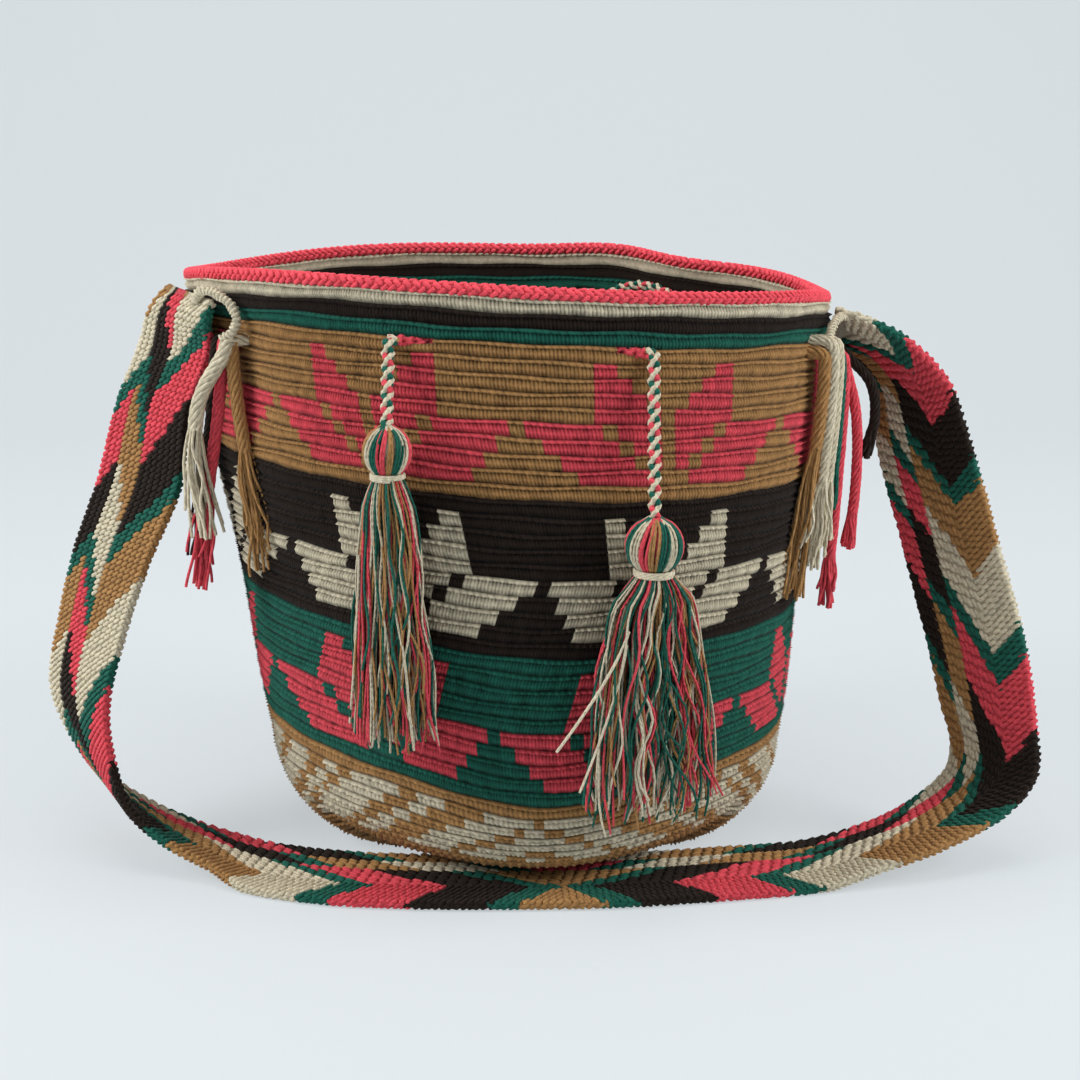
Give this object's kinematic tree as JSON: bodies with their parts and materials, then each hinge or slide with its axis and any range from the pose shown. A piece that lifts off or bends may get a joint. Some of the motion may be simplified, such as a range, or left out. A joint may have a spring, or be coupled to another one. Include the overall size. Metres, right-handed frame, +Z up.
{
  "type": "crochet shoulder bag",
  "caption": "Bucket-shaped crochet bag with a woven shoulder strap, a threaded drawstring ending in yarn tassels, and knotted yarn fringes at the strap's ends.",
  "frame": {"origin": "on the floor under the middle of the base", "axes": "+Z up out of the mouth, -Y towards the front with the tassels, +X to the right seen from the front"},
  "size_m": [0.4074, 0.2544, 0.2404],
  "materials": {
    "crochet_wall": "tightly crocheted cotton yarn in rows, matt",
    "pink_yarn": "plied cotton yarn, matt",
    "woven_strap": "obliquely woven cotton yarn in coloured chevrons, matt",
    "braided_cord": "round braid of cotton yarns, matt",
    "tassel_yarn": "loose cut yarn ends of mixed colours, matt",
    "cream_yarn": "plied cotton yarn, matt",
    "tan_yarn": "plied cotton yarn, matt",
    "brown_yarn": "plied cotton yarn, matt",
    "green_yarn": "plied cotton yarn, matt"
  },
  "bodies": {
    "bag": {"bag_body": "crochet_wall", "rim_edging": "pink_yarn", "shoulder_strap": "woven_strap", "drawstring": "braided_cord", "left_fringe_cream": "cream_yarn", "left_fringe_tan": "tan_yarn", "left_fringe_brown": "brown_yarn", "left_fringe_pink": "pink_yarn", "right_fringe_tan": "tan_yarn", "right_fringe_cream_front": "cream_yarn", "right_fringe_cream_rear": "cream_yarn", "right_fringe_pink_front": "pink_yarn", "right_fringe_pink_rear": "pink_yarn", "right_fringe_green": "green_yarn", "right_fringe_brown": "brown_yarn"},
    "left_tassel": {"left_drawstring_end": "braided_cord", "left_tassel_yarn": "tassel_yarn", "left_tassel_tie": "cream_yarn"},
    "right_tassel": {"right_drawstring_end": "braided_cord", "right_tassel_yarn": "tassel_yarn", "right_tassel_tie": "cream_yarn"}
  },
  "joints": [
    {"name": "left_tassel_swing", "type": "hinge", "parent": "bag", "child": "left_tassel", "pos_m": [-0.04926, -0.10305, 0.21525], "axis": [-0.9251, 0.3798, 0], "range_deg": [0, 120]},
    {"name": "right_tassel_swing", "type": "hinge", "parent": "bag", "child": "right_tassel", "pos_m": [0.04601, -0.09959, 0.20987], "axis": [-0.8809, -0.4733, 0], "range_deg": [0, 120]}
  ]
}
